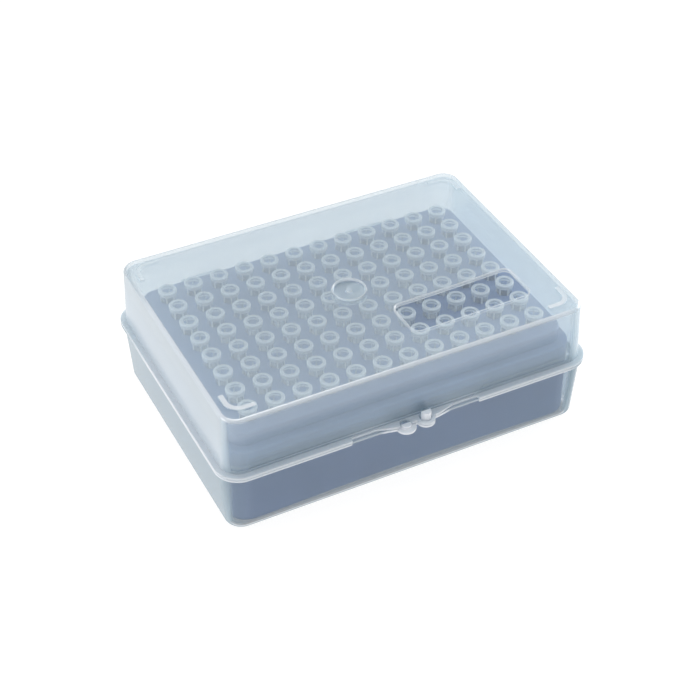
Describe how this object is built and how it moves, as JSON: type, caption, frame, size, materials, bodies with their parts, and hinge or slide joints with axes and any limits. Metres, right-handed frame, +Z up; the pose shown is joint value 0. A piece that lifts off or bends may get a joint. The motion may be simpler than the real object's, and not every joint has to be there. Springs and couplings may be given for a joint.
{
  "type": "pipette tip box",
  "caption": "Hinged translucent box with a rack of small pipette tips; the lid has a clear window and a front snap latch and folds right back.",
  "frame": {"origin": "middle of the tray's underside, on the surface that the box stands on", "axes": "+X along the twelve tip columns, to the right seen from the latch; +Y from the latch at the front to the hinge at the back; +Z up"},
  "size_m": [0.1276, 0.1007, 0.0439],
  "materials": {
    "tray_plastic": "frosted natural polypropylene, translucent",
    "lid_plastic": "frosted natural polypropylene, translucent, with a clearer window",
    "rack_plastic": "blue-grey moulded polypropylene, satin",
    "tip_plastic": "natural polypropylene, translucent, polished"
  },
  "bodies": {
    "base": {"tray": "tray_plastic", "rack": "rack_plastic", "tips_column_01": "tip_plastic", "tips_column_02": "tip_plastic", "tips_column_03": "tip_plastic", "tips_column_04": "tip_plastic", "tips_column_05": "tip_plastic", "tips_column_06": "tip_plastic", "tips_column_07": "tip_plastic", "tips_column_08": "tip_plastic", "tips_column_09": "tip_plastic", "tips_column_10": "tip_plastic", "tips_column_11": "tip_plastic", "tips_column_12": "tip_plastic"},
    "lid": {"lid": "lid_plastic"}
  },
  "joints": [
    {"name": "lid_hinge", "type": "hinge", "parent": "base", "child": "lid", "pos_m": [0, 0.04885, 0.02235], "axis": [-1, 0, 0], "range_deg": [0, 180]}
  ]
}
